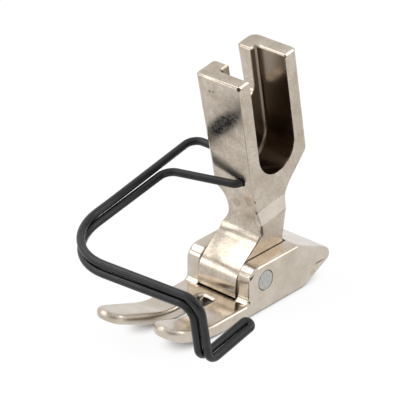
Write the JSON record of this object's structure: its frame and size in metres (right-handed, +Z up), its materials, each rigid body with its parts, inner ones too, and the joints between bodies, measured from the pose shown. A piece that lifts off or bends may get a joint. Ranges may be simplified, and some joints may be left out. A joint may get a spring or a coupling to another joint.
{
  "type": "hinged presser foot with finger guard",
  "caption": "Hinged, spring-loaded sewing presser foot with split toes, a slotted clamp shank and a black bent-wire guard that keeps fingers away from the needle.",
  "frame": {"origin": "on the flat underside of the sole, half-way across it, straight below the hinge pin's axis", "axes": "+Z up, away from the cloth; +Y towards the heel, the toes point along -Y; +X towards the side where the bar channel is open"},
  "size_m": [0.0266, 0.0388, 0.0348],
  "materials": {
    "plated_sole": "satin nickel plate over a casting",
    "plated_shank": "satin nickel plate over a casting, slightly mottled",
    "pin_steel": "plain ground steel",
    "spring_steel": "drawn spring wire",
    "black_wire": "satin black coating"
  },
  "bodies": {
    "sole": {"sole": "plated_sole", "hinge_pin": "pin_steel"},
    "shank": {"shank": "plated_shank", "finger_guard": "black_wire", "hinge_spring": "spring_steel"}
  },
  "joints": [
    {"name": "sole_hinge", "type": "hinge", "parent": "sole", "child": "shank", "pos_m": [0, 0, 0.00455], "axis": [-1, 0, 0], "range_deg": [0, 11], "stiffness_Nm_per_rad": 0.03, "springref_deg": -22.92, "deforming": ["hinge_spring"]}
  ]
}
